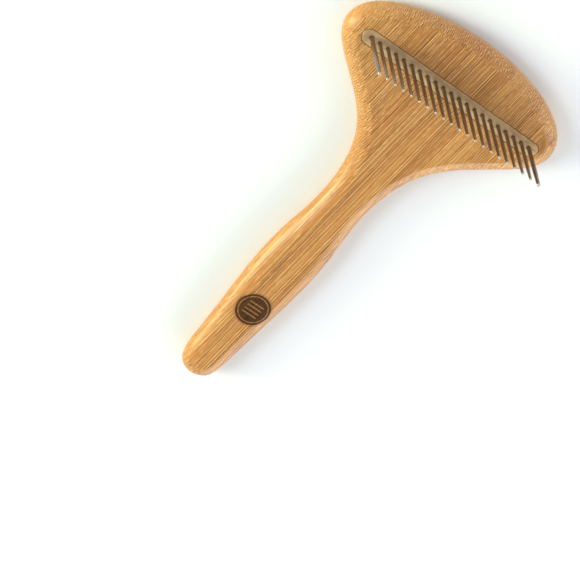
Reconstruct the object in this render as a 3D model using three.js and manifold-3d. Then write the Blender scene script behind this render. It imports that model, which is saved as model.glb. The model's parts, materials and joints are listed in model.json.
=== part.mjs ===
// Undercoat rake for combing a pet's coat: a flat bamboo board with a fan-shaped head and a
// slim handle, and a row of round steel pins standing out of a steel plate that is let into
// the head's front face. The pins between the two end pins turn freely in the plate's holes.
//
// Millimetres. The rake lies on its back: +Z is the way the pins point, +Y runs from the end of
// the handle to the top of the head, and X runs along the row of pins. The origin is the middle
// of the rake's footprint, on the surface that it lies on.

import * as THREE from 'three';
import { mergeVertices } from 'three/addons/utils/BufferGeometryUtils.js';
import Module from 'manifold-3d';

// The board.
const LENGTH = 166;
const THICKNESS = 10;
const EDGE_RADIUS = 4.8;
const EDGE_STEPS = 5;
const POINTS_PER_SPAN = 3;

// The right half of the board's outline: [half width, distance below the top of the head].
const HEAD = [
  [0, 0], [12.2, 0.7], [24, 2.9], [33.6, 6.2], [40.5, 10.1], [44.8, 14.9], [46.25, 20.9],
  [43.9, 26.9], [38.6, 32.3], [31.2, 38], [22.8, 44.7], [15.8, 52.6], [11.7, 60.9],
];
const HANDLE = [
  [9.5, 70], [8.8, 79.5], [9.4, 89.5], [10.7, 101], [11, 112], [10.4, 124], [9.3, 137],
  [8.4, 149], [7.6, 158.3], [5.4, 163.8], [0, LENGTH],
];

// The row of pins.
const PIN_COUNT = 21;
const PITCH = 3.6;
const ROW_BELOW_TOP = 20.8;
const PIN_SIDES = 10;
const TURNING_PIN = { radius: 0.68, tipRadius: 0.48, height: 26.5, tailLength: 0 };
const END_PIN = { radius: 0.8, tipRadius: 0.62, height: 26.9, tailLength: 4 };
const TAPER_START = 0.6; // share of the height where the taper begins
const HEAD_RADIUS = 1.45;
const HEAD_HEIGHT = 1;

// The steel plate, its recess, and the chamber for the pins' heads below it.
const PLATE_LENGTH = 79.2;
const PLATE_WIDTH = 5.7;
const PLATE_THICKNESS = 1.2;
const PLATE_PROUD = 0.1;
const PLATE_SHIFT = -0.2; // the row stands a little above the plate's middle line
const HOLE_SIDES = 12;
const END_STEPS = 10;
const BACKING_WIDTH = 2.9;
const BACKING_THICKNESS = 1.2;

// Clearances.
const TURNING_GAP = 0.3; // over and under the head of a turning pin
const HOLE_GAP = 0.08; // round a pin in its hole in the plate
const SIDE_GAP = 0.22; // between the plate or the backing strip and the wood round it
const SEAT_GAP = 0.1; // under a piece that rests on the wood

// Heights that follow from those sizes.
const ROW_Y = LENGTH / 2 - ROW_BELOW_TOP;
const ROW_HALF = ((PIN_COUNT - 1) * PITCH) / 2;
const PLATE_TOP = THICKNESS + PLATE_PROUD;
const PLATE_BOTTOM = PLATE_TOP - PLATE_THICKNESS;
const HEAD_TOP = PLATE_BOTTOM - TURNING_GAP;
const HEAD_BOTTOM = HEAD_TOP - HEAD_HEIGHT;
const BACKING_TOP = HEAD_BOTTOM - TURNING_GAP;
const BACKING_BOTTOM = BACKING_TOP - BACKING_THICKNESS;
const CHAMBER_FLOOR = BACKING_BOTTOM - SEAT_GAP;
const RECESS_FLOOR = PLATE_BOTTOM - SEAT_GAP;
const ABOVE_BOARD = THICKNESS + 1; // where the cutting solids end, clear of the front face

const BAMBOO = { color: 0xc18f57, roughness: 0.5, metalness: 0 };
const SATIN_STEEL = { color: 0xb3a893, roughness: 0.38, metalness: 0.9 };
const BRIGHT_STEEL = { color: 0x8f8a84, roughness: 0.18, metalness: 1 };
const ZINC = { color: 0x9c9d9a, roughness: 0.5, metalness: 0.8 };

const wasm = await Module();
wasm.setup();

// A closed mesh as a solid that can be joined and cut.
function solidOf(geometry) {
  const bare = geometry.clone();
  bare.deleteAttribute('normal');
  bare.deleteAttribute('uv');
  const merged = mergeVertices(bare, 1e-4);
  return new wasm.Manifold(new wasm.Mesh({
    numProp: 3,
    vertProperties: new Float32Array(merged.attributes.position.array),
    triVerts: new Uint32Array(merged.index.array),
  }));
}

function geometryOf(solid) {
  const mesh = solid.getMesh();
  const geometry = new THREE.BufferGeometry();
  geometry.setAttribute('position', new THREE.BufferAttribute(mesh.vertProperties, mesh.numProp));
  geometry.setIndex(new THREE.BufferAttribute(mesh.triVerts, 1));
  geometry.computeVertexNormals();
  return geometry;
}

function pinX(index) {
  return index * PITCH - ROW_HALF;
}

// The board's outline: one smooth closed curve, the same on both sides of X = 0.
function boardShape() {
  const right = [...HEAD, ...HANDLE].map(([x, below]) => [x, LENGTH / 2 - below]);
  const left = right.slice(1, -1).reverse().map(([x, y]) => [-x, y]);
  const knots = [...right, ...left].map(([x, y]) => new THREE.Vector3(x, y, 0));
  const curve = new THREE.CatmullRomCurve3(knots, true, 'centripetal');
  const points = curve.getPoints(knots.length * POINTS_PER_SPAN).slice(0, -1);
  return new THREE.Shape(points.map(({ x, y }) => new THREE.Vector2(x, y)));
}

// An outline with two straight sides along X and two half-round ends, centred on (0, y).
function stadiumShape(length, width, y) {
  const radius = width / 2;
  const reach = length / 2 - radius;
  const shape = new THREE.Shape();
  shape.absarc(reach, y, radius, -Math.PI / 2, Math.PI / 2, false);
  shape.absarc(-reach, y, radius, Math.PI / 2, 1.5 * Math.PI, false);
  return shape;
}

function slab(shape, bottom, top, curveSegments) {
  const options = { depth: top - bottom, bevelEnabled: false, curveSegments };
  return new THREE.ExtrudeGeometry(shape, options).translate(0, 0, bottom);
}

// A round rod or bore, upright at (x, y) from bottom to top.
function upright(radius, x, y, bottom, top, sides) {
  const geometry = new THREE.CylinderGeometry(radius, radius, top - bottom, sides);
  return geometry.rotateX(Math.PI / 2).translate(x, y, (top + bottom) / 2);
}

function bambooBody() {
  const board = new THREE.ExtrudeGeometry(boardShape(), {
    depth: THICKNESS - 2 * EDGE_RADIUS,
    bevelThickness: EDGE_RADIUS,
    bevelSize: EDGE_RADIUS,
    bevelOffset: -EDGE_RADIUS,
    bevelSegments: EDGE_STEPS,
    curveSegments: 1,
  }).translate(0, 0, EDGE_RADIUS);

  const recess = stadiumShape(
    PLATE_LENGTH + 2 * SIDE_GAP, PLATE_WIDTH + 2 * SIDE_GAP, ROW_Y + PLATE_SHIFT);
  const chamberWidth = BACKING_WIDTH + 2 * SIDE_GAP;
  const chamber = stadiumShape(2 * ROW_HALF + chamberWidth, chamberWidth, ROW_Y);
  const tailEnd = HEAD_BOTTOM - TURNING_GAP - BACKING_THICKNESS - END_PIN.tailLength;

  let solid = solidOf(board)
    .subtract(solidOf(slab(recess, RECESS_FLOOR, ABOVE_BOARD, END_STEPS)))
    .subtract(solidOf(slab(chamber, CHAMBER_FLOOR, ABOVE_BOARD, END_STEPS)));
  for (const x of [-ROW_HALF, ROW_HALF]) {
    const bore = upright(END_PIN.radius + SIDE_GAP, x, ROW_Y, tailEnd, RECESS_FLOOR, HOLE_SIDES);
    solid = solid.subtract(solidOf(bore));
  }
  return geometryOf(solid);
}

// A strip with a round hole for each pin that passes through it.
function drilledStrip(shape, bottom, top, holes) {
  for (const { x, radius } of holes) {
    const hole = new THREE.Path();
    hole.absarc(x, ROW_Y, radius, 0, 2 * Math.PI, true);
    shape.holes.push(hole);
  }
  return slab(shape, bottom, top, HOLE_SIDES);
}

function pinPlate() {
  const holes = [];
  for (let index = 0; index < PIN_COUNT; index += 1) {
    const pin = isEndPin(index) ? END_PIN : TURNING_PIN;
    holes.push({ x: pinX(index), radius: pin.radius + HOLE_GAP });
  }
  const shape = stadiumShape(PLATE_LENGTH, PLATE_WIDTH, ROW_Y + PLATE_SHIFT);
  return drilledStrip(shape, PLATE_BOTTOM, PLATE_TOP, holes);
}

function backingStrip() {
  const radius = END_PIN.radius + SIDE_GAP;
  const holes = [{ x: -ROW_HALF, radius }, { x: ROW_HALF, radius }];
  const shape = stadiumShape(2 * ROW_HALF + BACKING_WIDTH, BACKING_WIDTH, ROW_Y);
  return drilledStrip(shape, BACKING_BOTTOM, BACKING_TOP, holes);
}

function isEndPin(index) {
  return index === 0 || index === PIN_COUNT - 1;
}

// A pin turned about its own axis, with z = 0 at the plate's top face: a flat head below the
// plate, a straight shank, a long taper and a round tip. An end pin has a tail below its head,
// which goes through the backing strip and into the wood.
function pinGeometry({ radius, tipRadius, height, tailLength }) {
  const headTop = HEAD_TOP - PLATE_TOP;
  const headBottom = HEAD_BOTTOM - PLATE_TOP;
  const taperStart = TAPER_START * height;
  const tipCentre = height - tipRadius;
  const profile = [];
  if (tailLength > 0) {
    const tailBottom = headBottom - TURNING_GAP - BACKING_THICKNESS - tailLength + SEAT_GAP;
    profile.push([0, tailBottom], [radius, tailBottom], [radius, headBottom]);
  } else {
    profile.push([0, headBottom]);
  }
  profile.push(
    [HEAD_RADIUS, headBottom], [HEAD_RADIUS, headTop], [radius, headTop], [radius, taperStart],
    [0.35 * tipRadius + 0.65 * radius, (taperStart + tipCentre) / 2], [tipRadius, tipCentre],
    [0.7 * tipRadius, tipCentre + 0.7 * tipRadius], [0, height],
  );
  const points = profile.map(([r, z]) => new THREE.Vector2(r, z));
  return new THREE.LatheGeometry(points, PIN_SIDES).rotateX(Math.PI / 2);
}

function pinName(index) {
  if (index === 0) return 'end_pin_left';
  if (index === PIN_COUNT - 1) return 'end_pin_right';
  return `turning_pin_${String(index).padStart(2, '0')}`;
}

function piece(name, geometry, finish) {
  const mesh = new THREE.Mesh(geometry, new THREE.MeshStandardMaterial(finish));
  mesh.name = name;
  return mesh;
}

const rake = new THREE.Group();
rake.add(
  piece('bamboo_body', bambooBody(), BAMBOO),
  piece('pin_plate', pinPlate(), SATIN_STEEL),
  piece('backing_strip', backingStrip(), ZINC),
);

const pinRow = new THREE.Group();
pinRow.position.set(0, ROW_Y, PLATE_TOP);
rake.add(pinRow);
for (let index = 0; index < PIN_COUNT; index += 1) {
  const size = isEndPin(index) ? END_PIN : TURNING_PIN;
  const pin = piece(pinName(index), pinGeometry(size), BRIGHT_STEEL);
  pin.position.x = pinX(index);
  pinRow.add(pin);
}

export default rake;
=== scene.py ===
"""Looks of a bamboo undercoat rake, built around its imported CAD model.

Everything is in metres in the CAD's frame: the rake lies on its back, +Z is the way the pins point, +Y runs
along the handle to the top of the head and X runs along the row of pins. The board, the plate and the pins
are rebuilt here as fine meshes on the CAD's own outlines and sizes, with procedural wood and steel.
"""

import json
import math

import bpy
from mathutils import Matrix, Vector
from mathutils.geometry import tessellate_polygon


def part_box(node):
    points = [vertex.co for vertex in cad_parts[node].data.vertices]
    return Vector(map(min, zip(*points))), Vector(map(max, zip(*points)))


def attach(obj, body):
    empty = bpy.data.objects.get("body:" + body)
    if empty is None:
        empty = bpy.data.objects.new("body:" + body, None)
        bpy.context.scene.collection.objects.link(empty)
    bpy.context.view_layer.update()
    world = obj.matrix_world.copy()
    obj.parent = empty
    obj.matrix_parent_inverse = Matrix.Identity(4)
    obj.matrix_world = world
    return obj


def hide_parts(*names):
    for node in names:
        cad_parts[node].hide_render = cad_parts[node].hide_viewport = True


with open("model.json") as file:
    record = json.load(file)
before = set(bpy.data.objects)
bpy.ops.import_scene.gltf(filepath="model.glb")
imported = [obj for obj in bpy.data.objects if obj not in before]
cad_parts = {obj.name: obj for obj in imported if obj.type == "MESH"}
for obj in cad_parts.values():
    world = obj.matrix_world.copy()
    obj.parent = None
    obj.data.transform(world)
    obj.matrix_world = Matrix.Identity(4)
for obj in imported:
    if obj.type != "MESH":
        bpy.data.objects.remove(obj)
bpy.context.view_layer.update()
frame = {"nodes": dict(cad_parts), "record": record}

MM = 0.001
PER_MM = 1000.0
QUARTER_TURN = math.pi / 2

# The board.
EDGE_RADIUS = 4.8 * MM
EDGE_STEPS = 14
EDGE_START = math.radians(25)  # the edge's arc starts this steep, so each face ends in a faint crease
OUTLINE_FINER = 4  # fine outline points for each point of the CAD outline
OUTLINE_SLACK = 0.01 * MM  # how far off its height a point of the CAD outline may lie
ARRIS = 0.08 * MM  # the broken edge round the recess
SIDE_GAP = 0.22 * MM
SEAT_GAP = 0.1 * MM
STADIUM_STEPS = 32
BORE_SIDES = 32

# The plate.
PLATE_EDGE = 0.22 * MM
PLATE_EDGE_STEPS = 5
HOLE_GAP = 0.07 * MM
COUNTERSINK = 0.04 * MM
HOLE_SIDES = 48

# The pins.
PIN_SIDES = 40
TAPER_START = 0.6  # of the height above the plate
TAPER_CURVE = 1.25
TAPER_RINGS = 12
TIP_RINGS = 8
HEAD_HEIGHT = 1.0 * MM
HEAD_EDGE = 0.12 * MM
HEAD_RADIUS = 1.45 * MM
HEAD_DEPTH = 1.5 * MM  # from the plate's top face down to the heads
TURNING_RADIUS, TURNING_TIP = 0.68 * MM, 0.48 * MM
END_RADIUS, END_TIP = 0.8 * MM, 0.62 * MM


def middle_x(node):
    low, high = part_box(node)
    return (low.x + high.x) / 2


# Places taken from the CAD.
PLATE_LOW, PLATE_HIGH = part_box("pin_plate")
STRIP_LOW, STRIP_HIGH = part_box("backing_strip")
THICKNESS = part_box("bamboo_body")[1].z
END_PIN_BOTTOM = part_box("end_pin_left")[0].z
ROW_Y = (STRIP_LOW.y + STRIP_HIGH.y) / 2
ROW_HALF = middle_x("end_pin_right")
PLATE_Y = (PLATE_LOW.y + PLATE_HIGH.y) / 2


def srgb(red, green, blue):
    """A linear colour from the 0 to 255 values of a colour picker."""
    def linear(value):
        share = value / 255
        return share / 12.92 if share <= 0.04045 else ((share + 0.055) / 1.055) ** 2.4
    return (linear(red), linear(green), linear(blue), 1.0)


def link(name, data):
    """A new object in the scene."""
    thing = bpy.data.objects.new(name, data)
    bpy.context.scene.collection.objects.link(thing)
    return thing


# ---------------------------------------------------------------- meshes

def make_piece(name, vertices, faces, material, sharp_angle):
    mesh = bpy.data.meshes.new(name)
    mesh.from_pydata(vertices, [], faces)
    mesh.validate()
    mesh.shade_smooth()
    mesh.set_sharp_from_angle(angle=math.radians(sharp_angle))
    mesh.materials.append(material)
    return link(name, mesh)


class Skin:
    """Collects rings of vertices and the faces between them."""

    def __init__(self):
        self.vertices = []
        self.faces = []

    def ring(self, points, z):
        first = len(self.vertices)
        self.vertices.extend((x, y, z) for x, y in points)
        return list(range(first, len(self.vertices)))

    def wall(self, lower, upper):
        """Faces between two rings of the same length, facing out of a ring that runs anticlockwise."""
        count = len(lower)
        for i in range(count):
            j = (i + 1) % count
            self.faces.append((lower[i], lower[j], upper[j], upper[i]))

    def stack(self, rings):
        for lower, upper in zip(rings, rings[1:]):
            self.wall(lower, upper)

    def flat(self, outer, holes=(), up=True):
        """A flat face with holes, at one height."""
        loops = [outer, *holes]
        order = [index for loop in loops for index in loop]
        for a, b, c in tessellate_polygon([[Vector(self.vertices[i]) for i in loop] for loop in loops]):
            triangle = [order[a], order[b], order[c]]
            pa, pb, pc = (Vector(self.vertices[i]) for i in triangle)
            if ((pb - pa).cross(pc - pa).z > 0) != up:
                triangle.reverse()
            self.faces.append(tuple(triangle))


def circle(x, y, radius, sides):
    turn = 2 * math.pi / sides
    return [(x + radius * math.cos(i * turn), y + radius * math.sin(i * turn)) for i in range(sides)]


def stadium(half_length, half_width, y):
    """Two straight sides along X with half-round ends, anticlockwise."""
    reach = half_length - half_width
    points = []
    for centre, start in ((reach, -QUARTER_TURN), (-reach, QUARTER_TURN)):
        for i in range(STADIUM_STEPS + 1):
            angle = start + math.pi * i / STADIUM_STEPS
            points.append((centre + half_width * math.cos(angle), y + half_width * math.sin(angle)))
    return points


def cad_outline():
    """The points of the CAD board's widest outline, anticlockwise.

    Every one of them can be seen from the middle of the row, so their angles round it put them in order.
    """
    mesh = frame["nodes"]["bamboo_body"].data
    low, high = EDGE_RADIUS - OUTLINE_SLACK, THICKNESS / 2
    points = {(round(v.co.x, 7), round(v.co.y, 7)) for v in mesh.vertices if low < v.co.z < high}
    return sorted(points, key=lambda p: math.atan2(p[1] - ROW_Y, p[0]))


def smooth_outline(points):
    """A Catmull-Rom curve through the points, closed."""
    count = len(points)
    fine = []
    for i in range(count):
        p0, p1, p2, p3 = (Vector(points[(i + k) % count]) for k in (-1, 0, 1, 2))
        t1 = (p1 - p0).length ** 0.5
        t2 = t1 + (p2 - p1).length ** 0.5
        t3 = t2 + (p3 - p2).length ** 0.5
        for step in range(OUTLINE_FINER):
            t = t1 + (t2 - t1) * step / OUTLINE_FINER
            a1 = p0 * ((t1 - t) / t1) + p1 * (t / t1)
            a2 = p1 * ((t2 - t) / (t2 - t1)) + p2 * ((t - t1) / (t2 - t1))
            a3 = p2 * ((t3 - t) / (t3 - t2)) + p3 * ((t - t2) / (t3 - t2))
            b1 = a1 * ((t2 - t) / t2) + a2 * (t / t2)
            b2 = a2 * ((t3 - t) / (t3 - t1)) + a3 * ((t - t1) / (t3 - t1))
            fine.append(b1 * ((t2 - t) / (t2 - t1)) + b2 * ((t - t1) / (t2 - t1)))
    return fine


def inset(points, depth):
    """The outline moved inwards by depth."""
    count = len(points)
    moved = []
    for i, point in enumerate(points):
        along = (points[(i + 1) % count] - points[i - 1]).normalized()
        moved.append((point.x - along.y * depth, point.y + along.x * depth))
    return moved


def edge_profile():
    """The rounded edge as (inset, height off the widest outline), from the rim of a face outwards."""
    profile = []
    for i in range(EDGE_STEPS + 1):
        angle = EDGE_START + (QUARTER_TURN - EDGE_START) * i / EDGE_STEPS
        depth = EDGE_RADIUS * (1 - math.sin(angle)) / (1 - math.sin(EDGE_START))
        height = EDGE_RADIUS * math.cos(angle) / math.cos(EDGE_START)
        profile.append((depth, height))
    return profile


def board_mesh(material):
    """The board, with the recess for the plate, the chamber under it and the bores of the end pins."""
    outline = smooth_outline(cad_outline())
    skin = Skin()
    profile = edge_profile()
    back = [skin.ring(inset(outline, depth), EDGE_RADIUS - height) for depth, height in profile]
    front = [
        skin.ring(inset(outline, depth), THICKNESS - EDGE_RADIUS + height)
        for depth, height in reversed(profile)
    ]
    skin.stack(back + front)
    skin.flat(back[0], up=False)

    recess_half = Vector((PLATE_HIGH.x + SIDE_GAP, (PLATE_HIGH.y - PLATE_LOW.y) / 2 + SIDE_GAP))
    recess_floor = PLATE_LOW.z - SEAT_GAP
    chamber_half = Vector((STRIP_HIGH.x + SIDE_GAP, (STRIP_HIGH.y - STRIP_LOW.y) / 2 + SIDE_GAP))
    chamber_floor = STRIP_LOW.z - SEAT_GAP
    recess = stadium(recess_half.x, recess_half.y, PLATE_Y)
    chamber = stadium(chamber_half.x, chamber_half.y, ROW_Y)
    mouth = skin.ring(stadium(recess_half.x + ARRIS, recess_half.y + ARRIS, PLATE_Y), THICKNESS)
    walls = [
        skin.ring(chamber, chamber_floor),
        skin.ring(chamber, recess_floor),
        skin.ring(recess, recess_floor),
        skin.ring(recess, THICKNESS - ARRIS),
        mouth,
    ]
    skin.flat(front[-1], [mouth], up=True)
    for upper, lower in zip(walls[1:], walls):
        skin.wall(upper, lower)

    bores = []
    for x in (-ROW_HALF, ROW_HALF):
        bore = circle(x, ROW_Y, END_RADIUS + SIDE_GAP, BORE_SIDES)
        top = skin.ring(bore, chamber_floor)
        bottom = skin.ring(bore, END_PIN_BOTTOM - SEAT_GAP)
        skin.wall(top, bottom)
        skin.flat(bottom, up=True)
        bores.append(top)
    skin.flat(walls[0], bores, up=True)
    return make_piece("rake_board", skin.vertices, skin.faces, material, sharp_angle=9)


def plate_mesh(material, holes):
    """The plate with a softly rounded outer edge and a small countersink round each hole."""
    skin = Skin()
    half_length = PLATE_HIGH.x
    half_width = (PLATE_HIGH.y - PLATE_LOW.y) / 2
    outer = [skin.ring(stadium(half_length, half_width, PLATE_Y), PLATE_LOW.z)]
    for i in range(PLATE_EDGE_STEPS + 1):
        angle = QUARTER_TURN * i / PLATE_EDGE_STEPS
        depth = PLATE_EDGE * (1 - math.cos(angle))
        height = PLATE_HIGH.z - PLATE_EDGE * (1 - math.sin(angle))
        outer.append(skin.ring(stadium(half_length - depth, half_width - depth, PLATE_Y), height))
    skin.stack(outer)
    tops, bottoms = [], []
    for x, radius in holes:
        wide = circle(x, ROW_Y, radius + COUNTERSINK, HOLE_SIDES)
        narrow = circle(x, ROW_Y, radius, HOLE_SIDES)
        top = skin.ring(wide, PLATE_HIGH.z)
        neck = skin.ring(narrow, PLATE_HIGH.z - COUNTERSINK)
        bottom = skin.ring(narrow, PLATE_LOW.z)
        skin.wall(top, neck)
        skin.wall(neck, bottom)
        tops.append(top)
        bottoms.append(bottom)
    skin.flat(outer[-1], tops, up=True)
    skin.flat(outer[0], bottoms, up=False)
    return make_piece("rake_plate", skin.vertices, skin.faces, material, sharp_angle=50)


def pin_size(node):
    """The radius of a pin's shank and of its tip."""
    return (END_RADIUS, END_TIP) if node.startswith("end_pin") else (TURNING_RADIUS, TURNING_TIP)


def pin_profile(low, high, radius, tip_radius):
    """(radius, z) points of a pin from its lowest point to its tip."""
    head_top = PLATE_HIGH.z - HEAD_DEPTH
    head_low = head_top - HEAD_HEIGHT
    if low < head_low - HEAD_EDGE:
        profile = [(0, low), (radius - HEAD_EDGE, low), (radius, low + HEAD_EDGE), (radius, head_low)]
    else:
        profile = [(0, head_low)]
    profile += [
        (HEAD_RADIUS - HEAD_EDGE, head_low),
        (HEAD_RADIUS, head_low + HEAD_EDGE),
        (HEAD_RADIUS, head_top - HEAD_EDGE),
        (HEAD_RADIUS - HEAD_EDGE, head_top),
        (radius, head_top),
    ]
    taper_low = PLATE_HIGH.z + TAPER_START * (high - PLATE_HIGH.z)
    tip_centre = high - tip_radius
    for i in range(TAPER_RINGS + 1):
        share = i / TAPER_RINGS
        width = radius + (tip_radius - radius) * share ** TAPER_CURVE
        profile.append((width, taper_low + (tip_centre - taper_low) * share))
    for i in range(1, TIP_RINGS):
        angle = QUARTER_TURN * i / TIP_RINGS
        profile.append((tip_radius * math.cos(angle), tip_centre + tip_radius * math.sin(angle)))
    profile.append((0, high))
    return profile


def pin_mesh(node, material):
    """A pin turned about its own axis, with its mesh in the row frame."""
    low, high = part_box(node)
    x = middle_x(node)
    profile = pin_profile(low.z, high.z, *pin_size(node))
    skin = Skin()
    skin.vertices.append((x, ROW_Y, profile[0][1]))
    rings = [skin.ring(circle(x, ROW_Y, r, PIN_SIDES), z) for r, z in profile[1:-1]]
    skin.vertices.append((x, ROW_Y, profile[-1][1]))
    skin.stack(rings)
    tip = len(skin.vertices) - 1
    for i in range(PIN_SIDES):
        j = (i + 1) % PIN_SIDES
        skin.faces.append((0, rings[0][j], rings[0][i]))
        skin.faces.append((tip, rings[-1][i], rings[-1][j]))
    return make_piece(node + "_fine", skin.vertices, skin.faces, material, sharp_angle=40)


# ---------------------------------------------------------------- materials

class Nodes:
    """Short calls for building a material's nodes. Any value given may be a number, a tuple or a socket."""

    def __init__(self, name):
        self.material = bpy.data.materials.new(name)
        self.material.use_nodes = True
        self.tree = self.material.node_tree
        self.shader = next(n for n in self.tree.nodes if n.type == "BSDF_PRINCIPLED")

    def put(self, socket, value):
        if isinstance(value, bpy.types.NodeSocket):
            self.tree.links.new(value, socket)
        else:
            socket.default_value = value

    def add(self, kind, values=(), **settings):
        node = self.tree.nodes.new(kind)
        for name, value in settings.items():
            setattr(node, name, value)
        for key, value in dict(values).items():
            self.put(node.inputs[key], value)
        return node

    def math(self, operation, a, b=0.0):
        return self.add("ShaderNodeMath", {0: a, 1: b}, operation=operation).outputs[0]

    def product(self, first, *others):
        for other in others:
            first = self.math("MULTIPLY", first, other)
        return first

    def absolute(self, value):
        return self.math("ABSOLUTE", value)

    def length(self, a, b):
        return self.math("SQRT", self.math("ADD", self.product(a, a), self.product(b, b)))

    def range(self, value, low, high, to_low=0.0, to_high=1.0):
        """value moved smoothly from low..high to to_low..to_high."""
        values = {"Value": value, "From Min": low, "From Max": high, "To Min": to_low, "To Max": to_high}
        return self.add("ShaderNodeMapRange", values, interpolation_type="SMOOTHSTEP").outputs[0]

    def within(self, value, reach, fade):
        """1 where value is under reach, and 0 from reach + fade on."""
        return self.range(value, reach, reach + fade, 1.0, 0.0)

    def mix(self, factor, a, b):
        node = self.add("ShaderNodeMix", {0: factor}, data_type="RGBA")
        self.put(node.inputs[6], a)
        self.put(node.inputs[7], b)
        return node.outputs[2]

    def place(self, scale=(1, 1, 1), turn=0.0):
        """The point of the surface in the row frame, turned about Z and scaled."""
        source = self.add("ShaderNodeTexCoord").outputs["Object"]
        values = {"Vector": source, "Scale": scale, "Rotation": (0, 0, turn)}
        return self.add("ShaderNodeMapping", values).outputs[0]

    def split(self, vector):
        return self.add("ShaderNodeSeparateXYZ", {0: vector}).outputs

    def vector(self, operation, a, b):
        return self.add("ShaderNodeVectorMath", {0: a, 1: b}, operation=operation).outputs[0]

    def cells(self, section, scale, randomness):
        values = {"Vector": section, "Scale": scale, "Randomness": randomness}
        return self.add("ShaderNodeTexVoronoi", values, voronoi_dimensions="2D")

    def noise(self, place, detail=2.0, roughness=0.5):
        values = {"Vector": place, "Scale": 1.0, "Detail": detail, "Roughness": roughness}
        return self.add("ShaderNodeTexNoise", values)

    def bump(self, height, strength, distance):
        values = {"Height": height, "Strength": strength, "Distance": distance}
        return self.add("ShaderNodeBump", values).outputs[0]

    def finish(self, **values):
        for name, value in values.items():
            self.put(self.shader.inputs[name.replace("_", " ")], value)
        return self.material


# Sizes in the wood's patterns are in millimetres. A grain is how much a noise is squeezed along X, Y and Z:
# the smaller the number, the longer its streaks that way.
GRAIN_TURN = math.radians(2.0)  # the grain leans a little to +X of the handle's line
STRIP_WIDTH = 5.4  # one laminated strip
FINE_GRAIN = (2.7, 0.05, 2.7)
BROAD_GRAIN = (0.14, 0.02, 0.14)
DRIFT_GRAIN = (8.5, 0.3, 2.0)
DRIFT_REACH = (0.08, 0, 1.3)  # how far the fibre bundles wander across and in depth
BESIDE = (0.36, 0.1, 0.0)  # from a dark fibre to the light one beside it
CELL_SPREAD = 0.7
THREADS_PER_MM = 3.3
THREAD_SPREAD = 0.8

# How much of its colour each part of the pattern lays over the wood.
RIM_SHARE = 0.9
CORE_SHARE = 0.88
THREAD_SHARE = 0.2
DARK_LINE_SHARE = 0.3
LIGHT_LINE_SHARE = 0.28

PALE = srgb(251, 203, 135)
STRAW = srgb(210, 151, 82)
HONEY = srgb(187, 125, 65)
UMBER = srgb(99, 49, 16)
BURNT = srgb(48, 25, 10)
KNOT = srgb(140, 66, 44)

KNOT_X = 39.0
KNOT_ABOVE_ROW = 7.6
KNOT_RADIUS = 0.6
KNOT_FADE = 1.1
KNOT_SHARE = 0.7
KNOT_SQUEEZE = 0.45  # the growth mark is longer along the grain

MARK_BELOW_ROW = 109.4
MARK_RADIUS = 6.6
MARK_RING_INSET = 1.0
MARK_RING_HALF = 0.16
MARK_SCORCH = 1.2  # browned wood round the mark
SCORCH_SHARE = 0.45
MARK_BAR_PITCH = 1.6
MARK_BAR_HALF = 0.2
MARK_BARS_REACH = (3.0, 2.6)  # half the length of the bars, and half the height that they fill
MARK_SPARED = 0.75  # how much of the light wood is left in the ring and the bars
MARK_DEPTH = (3, 2)  # under the front face, where the mark starts to show and where it is full


def show_of_fibres(n, x):
    """How strongly fibres show, by where the surface faces: less on the rounded edge, least on its left
    side, and a little less along the middle of the board. The fading on the left side is painted glare:
    that side faces the key lamp, and its fibres are washed out as if over-lit. Also the share for the
    painted glare alone."""
    facing_x, _, facing_z = n.split(n.add("ShaderNodeTexCoord").outputs["Normal"])
    # Painted glare: fibres fade where the surface faces left, towards the key lamp, as if washed out by its
    # light.
    glare_fade_left = n.range(facing_x, -0.8, -0.15, 0.4, 1.0)
    edge = n.range(n.absolute(facing_z), 0.0, 0.5, 0.4, 1.0)
    middle = n.range(n.absolute(x), 4.0, 16.0, 0.84, 1.0)
    return n.product(edge, glare_fade_left, middle), glare_fade_left


def fibre_bundles(n, place, x, tone):
    """Fibres as cells across the grain, drawn out along it, that sink and rise a little as they go. They lie
    closer together in the strips towards the ends of the head. Gives the dark cores, the light rims beside
    them and the fine threads between."""
    drift = n.noise(n.vector("MULTIPLY", place, DRIFT_GRAIN), detail=0.0).outputs["Color"]
    drift = n.vector("SUBTRACT", drift, (0.5, 0.5, 0.5))
    moved_x, _, moved_z = n.split(n.vector("ADD", place, n.vector("MULTIPLY", drift, DRIFT_REACH)))
    section = n.add("ShaderNodeCombineXYZ", {0: moved_x, 1: moved_z, 2: 0.0}).outputs[0]
    per_mm = n.product(n.range(n.absolute(x), 3.0, 20.0, 1.0, 1.35), n.range(tone, 0.0, 1.0, 0.9, 1.1))

    bundles = n.cells(section, per_mm, CELL_SPREAD)
    dark_kind, light_kind, _ = n.add("ShaderNodeSeparateColor", {0: bundles.outputs["Color"]}).outputs
    core = n.within(bundles.outputs["Distance"], 0.24, 0.16)
    core = n.product(core, n.range(dark_kind, 0.1, 0.7, 0.4, 1.0))
    beside = n.cells(n.vector("ADD", section, BESIDE), per_mm, CELL_SPREAD)
    rim = n.within(beside.outputs["Distance"], 0.18, 0.2)
    rim = n.product(rim, n.range(light_kind, 0.2, 0.8, 0.4, 1.0))
    threads = n.cells(section, THREADS_PER_MM, THREAD_SPREAD)
    return core, rim, n.within(threads.outputs["Distance"], 0.2, 0.25)


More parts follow.
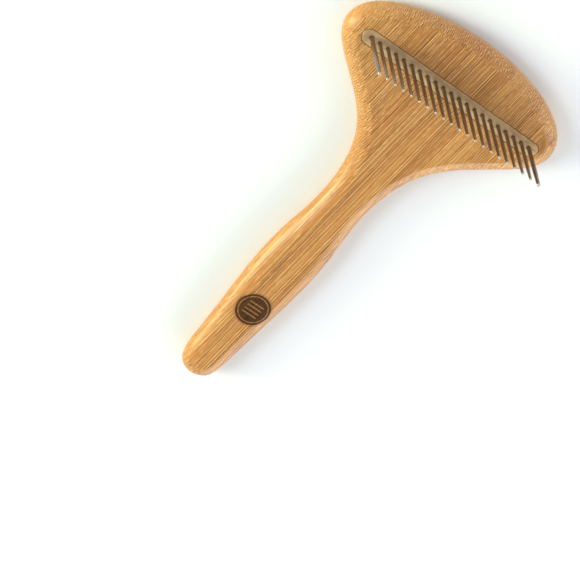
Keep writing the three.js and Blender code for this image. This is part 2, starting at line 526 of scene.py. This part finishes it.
def wood(n, place, fine):
    """The colour of the strips and their fibres, and how dark the fibres are at each point."""
    x = n.split(place)[0]
    across = n.math("DIVIDE", x, STRIP_WIDTH)
    strip = n.math("FLOOR", across)
    tone = n.add("ShaderNodeTexWhiteNoise", {"W": strip}, noise_dimensions="1D").outputs[0]
    crowd = n.range(n.math("FRACT", across), 0.0, 1.0, 0.6, 1.0)  # fibres crowd towards one side of a strip
    # The strength carries painted glare: fibres fade on the left side, which faces the key lamp.
    strength, glare_fade_left = show_of_fibres(n, x)
    core, rim, thread = fibre_bundles(n, place, x, tone)
    dark = n.product(core, crowd)
    broad = n.noise(n.vector("MULTIPLY", place, BROAD_GRAIN)).outputs[0]

    colour = n.mix(n.range(tone, 0.0, 1.0, 0.02, 0.75), HONEY, STRAW)
    colour = n.mix(n.range(broad, 0.35, 0.65, 0.0, 0.6), colour, HONEY)
    colour = n.mix(n.product(rim, strength, RIM_SHARE), colour, PALE)
    colour = n.mix(n.product(dark, strength, CORE_SHARE), colour, UMBER)
    colour = n.mix(n.product(thread, THREAD_SHARE), colour, UMBER)
    # The fine lines fade on the left side as well: painted glare.
    colour = n.mix(n.product(n.range(fine, 0.48, 0.34), DARK_LINE_SHARE, glare_fade_left), colour, UMBER)
    colour = n.mix(n.product(n.range(fine, 0.5, 0.66), LIGHT_LINE_SHARE, glare_fade_left), colour, PALE)
    return colour, dark


def growth_mark(n, place, fine, colour):
    """A small reddish mark near one end of the head."""
    x, y, _ = n.split(place)
    off_x = n.math("SUBTRACT", x, KNOT_X)
    off_y = n.product(n.math("SUBTRACT", y, ROW_Y * PER_MM + KNOT_ABOVE_ROW), KNOT_SQUEEZE)
    off = n.math("ADD", n.length(off_x, off_y), n.product(fine, 0.8))
    return n.mix(n.range(off, KNOT_RADIUS, KNOT_RADIUS + KNOT_FADE, KNOT_SHARE, 0.0), colour, KNOT)


def burnt_mark(n, fine, colour):
    """A plain burnt mark on the front of the handle: a dark disc with a light ring and light bars in it."""
    x, y, z = n.split(n.place((PER_MM,) * 3))
    y = n.math("SUBTRACT", y, ROW_Y * PER_MM - MARK_BELOW_ROW)
    off = n.math("ADD", n.length(x, y), n.product(fine, 0.3))
    disc = n.within(off, MARK_RADIUS - 0.1, 0.25)
    scorch = n.range(off, MARK_RADIUS, MARK_RADIUS + MARK_SCORCH, SCORCH_SHARE, 0.0)
    off_ring = n.absolute(n.math("SUBTRACT", off, MARK_RADIUS - MARK_RING_INSET))
    ring = n.within(off_ring, MARK_RING_HALF, 0.14)
    half_pitch = MARK_BAR_PITCH / 2
    bars = n.product(
        n.within(n.math("PINGPONG", n.math("ADD", y, half_pitch), half_pitch), MARK_BAR_HALF, 0.12),
        n.within(n.absolute(x), MARK_BARS_REACH[0], 0.2),
        n.within(n.absolute(y), MARK_BARS_REACH[1], 0.2),
    )
    spared = n.product(n.math("MAXIMUM", ring, bars), MARK_SPARED)
    front = n.range(z, THICKNESS * PER_MM - MARK_DEPTH[0], THICKNESS * PER_MM - MARK_DEPTH[1])
    burnt = n.product(disc, n.math("SUBTRACT", 1.0, spared), front)
    colour = n.mix(n.product(scorch, front), colour, UMBER)
    return n.mix(n.product(burnt, n.range(fine, 0.35, 0.65, 0.97, 0.8)), colour, BURNT), burnt


def bamboo():
    """Laminated bamboo: strips side by side, each full of long fibres that show as fine lines along the
    board and as dots where the rounded edge cuts across them, under a satin lacquer."""
    n = Nodes("bamboo")
    place = n.place((PER_MM,) * 3, GRAIN_TURN)
    fine = n.noise(n.vector("MULTIPLY", place, FINE_GRAIN), detail=4.0, roughness=0.65).outputs[0]
    colour, dark = wood(n, place, fine)
    colour = growth_mark(n, place, fine, colour)
    colour, burnt = burnt_mark(n, fine, colour)
    height = n.math("ADD", n.product(dark, -1.0), n.product(fine, 0.5))
    height = n.math("ADD", height, n.product(burnt, -2.0))
    return n.finish(
        Base_Color=colour,
        Roughness=n.math("ADD", n.range(fine, 0.3, 0.8, 0.4, 0.52), n.product(burnt, 0.2)),
        Normal=n.bump(height, strength=0.25, distance=0.06 * MM),
        Specular_IOR_Level=0.15,
        Coat_Weight=n.range(burnt, 0.0, 1.0, 0.6, 0.03),
        Coat_Roughness=0.31,
    )


# The scales of the patterns in the metals are per metre.
# The paler colour of the tips is a painted highlight: it brightens the spot of light on each tip.
TIP_SHINE_FROM, TIP_SHINE_TO = 26.1 * MM, 26.4 * MM  # above the plate, where the tips turn bright


def satin_steel():
    """Rolled steel strip, finely brushed along its length, with faint cloudy wear. Its warm beige
    is a painted reflection of the wood round it.
    """
    n = Nodes("satin_steel")
    lines = n.noise(n.place((120, 5200, 1500)), detail=3.0, roughness=0.6).outputs[0]
    clouds = n.noise(n.place((260, 260, 260)), detail=3.0).outputs[0]
    return n.finish(
        # The warm beige of the steel is a painted reflection of the wood round the plate.
        Base_Color=n.mix(n.range(clouds, 0.35, 0.65), srgb(186, 153, 112), srgb(206, 173, 130)),
        Metallic=0.5,
        Roughness=n.range(clouds, 0.3, 0.7, 0.5, 0.62),
        Normal=n.bump(lines, strength=0.12, distance=0.03 * MM),
    )


def bright_steel():
    """Satin wire with the faintest rings left by turning, and a paler tip that is a painted highlight."""
    n = Nodes("bright_steel")
    rings = n.noise(n.place((40, 40, 5000))).outputs[0]
    smears = n.noise(n.place((700, 700, 160))).outputs[0]
    height = n.split(n.place())[2]
    # Painted highlight: the tip is given a paler colour that brightens the light on it.
    tip = n.range(height, PLATE_HIGH.z + TIP_SHINE_FROM, PLATE_HIGH.z + TIP_SHINE_TO)
    shank = n.mix(smears, srgb(130, 118, 109), srgb(151, 138, 128))
    return n.finish(
        Base_Color=n.mix(tip, shank, srgb(186, 178, 168)),
        Metallic=0.9,
        Roughness=n.math("ADD", n.range(smears, 0.3, 0.7, 0.16, 0.24), n.product(tip, 0.2)),
        Normal=n.bump(rings, strength=0.08, distance=0.02 * MM),
    )


def zinc():
    """Zinc-coated strip with a fine spangle."""
    n = Nodes("zinc_strip")
    spangle = n.noise(n.place((900, 900, 900)), detail=4.0).outputs[0]
    return n.finish(
        Base_Color=n.mix(spangle, srgb(150, 152, 150), srgb(188, 190, 186)),
        Metallic=1.0,
        Roughness=n.range(spangle, 0.3, 0.7, 0.35, 0.55),
    )


def pale_floor():
    return Nodes("floor").finish(Base_Color=(0.92, 0.96, 1.0, 1), Roughness=0.9)


# ---------------------------------------------------------------- the object

def stand_for(piece, node, body):
    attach(piece, body)
    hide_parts(node)


body_of_node = {
    node: body
    for body, members in frame["record"]["behaviour"]["bodies"].items()
    for node in members
}
pin_nodes = sorted(node for node in frame["nodes"] if node.startswith(("turning_pin", "end_pin")))

stand_for(board_mesh(bamboo()), "bamboo_body", "rake")

pin_holes = [(middle_x(node), pin_size(node)[0] + HOLE_GAP) for node in pin_nodes]
stand_for(plate_mesh(satin_steel(), pin_holes), "pin_plate", "rake")

steel = bright_steel()
for node in pin_nodes:
    stand_for(pin_mesh(node, steel), node, body_of_node[node])

strip = frame["nodes"]["backing_strip"]
strip.data.materials.clear()
strip.data.materials.append(zinc())


# ---------------------------------------------------------------- stage, lights and camera

FLOOR_HALF = 3.0
FLOOR_DROP = 0.2 * MM  # below the board's back
HORIZON, ZENITH = 1.17, 0.33  # the room's brightness low down and overhead
HORIZON_END, ZENITH_START = 0.25, 0.85  # sines of the elevations that these reach to
ROOM_TINT = (0.97, 1.0, 1.05, 1)
LAMP_AIM = Vector((0, 0.03, 0))


def floor():
    mesh = bpy.data.meshes.new("floor")
    corners = [(x * FLOOR_HALF, y * FLOOR_HALF, -FLOOR_DROP) for x, y in ((-1, -1), (1, -1), (1, 1), (-1, 1))]
    mesh.from_pydata(corners, [], [(0, 1, 2, 3)])
    mesh.materials.append(pale_floor())
    link("floor", mesh)


def white_room():
    """A white room: bright round the horizon, dimmer overhead."""
    world = bpy.data.worlds.new("studio")
    world.use_nodes = True
    tree = world.node_tree
    sky = tree.nodes["Background"]
    sky.inputs["Color"].default_value = ROOM_TINT
    direction = tree.nodes.new("ShaderNodeTexCoord")
    split = tree.nodes.new("ShaderNodeSeparateXYZ")
    strength = tree.nodes.new("ShaderNodeMapRange")
    strength.interpolation_type = "SMOOTHSTEP"
    strength.inputs["From Min"].default_value = HORIZON_END
    strength.inputs["From Max"].default_value = ZENITH_START
    strength.inputs["To Min"].default_value = HORIZON
    strength.inputs["To Max"].default_value = ZENITH
    tree.links.new(direction.outputs["Generated"], split.inputs[0])
    tree.links.new(split.outputs["Z"], strength.inputs["Value"])
    tree.links.new(strength.outputs[0], sky.inputs["Strength"])
    bpy.context.scene.world = world


def round_lamp(name, place, size, power, colour):
    """A round soft light that shines at the middle of the rake."""
    data = bpy.data.lights.new(name, "AREA")
    data.shape = "DISK"
    data.size = size
    data.energy = power
    data.color = colour
    lamp = link(name, data)
    lamp.location = place
    lamp.rotation_euler = (LAMP_AIM - Vector(place)).to_track_quat("-Z", "Y").to_euler()


floor()
white_room()

# The key lies low on the head's left and gilds the edge there, and the sheen above it draws the highlights on
# the lacquer. The rim and the fill lift the edges on the right.
round_lamp("key", place=(-1.46, -0.51, 0.385), size=0.7, power=22.5, colour=(0.93, 1.05, 0.5))
round_lamp("sheen", place=(-1.12, -0.25, 0.94), size=0.6, power=7.5, colour=(0.96, 1.0, 1.05))
round_lamp("rim", place=(1.1, 0.5, 0.45), size=1.0, power=4.5, colour=(1.0, 0.95, 0.84))
round_lamp("fill", place=(0.95, -0.5, 0.22), size=1.0, power=8.5, colour=(1.0, 0.9, 0.62))
bpy.context.scene.view_settings.view_transform = "Standard"

# The camera looks down at the front face from beyond the head's left end, turned so that the handle runs to
# the lower left of the picture.
CAMERA_AZIMUTH = math.radians(-133.45)
CAMERA_ELEVATION = math.radians(58.67)
CAMERA_ROLL = math.radians(171.55)
CAMERA_AIM = Vector((5.3, -32.82, 10.31)) * MM
CAMERA_DISTANCE = 1.3732
CAMERA_LENS = 239.1  # mm, on a sensor 36 mm wide
CAMERA_SENSOR = 36
CAMERA_NEAR = 0.05


def photo_camera():
    data = bpy.data.cameras.new("camera")
    data.sensor_width = CAMERA_SENSOR
    data.lens = CAMERA_LENS
    data.clip_start = CAMERA_NEAR
    camera = link("camera", data)
    flat_share = math.cos(CAMERA_ELEVATION)
    back = Vector((
        math.sin(CAMERA_AZIMUTH) * flat_share,
        -math.cos(CAMERA_AZIMUTH) * flat_share,
        math.sin(CAMERA_ELEVATION),
    ))
    camera.matrix_world = (
        Matrix.Translation(CAMERA_AIM + back * CAMERA_DISTANCE)
        @ back.to_track_quat("Z", "Y").to_matrix().to_4x4()
        @ Matrix.Rotation(CAMERA_ROLL, 4, "Z")
    )
    bpy.context.scene.camera = camera


photo_camera()
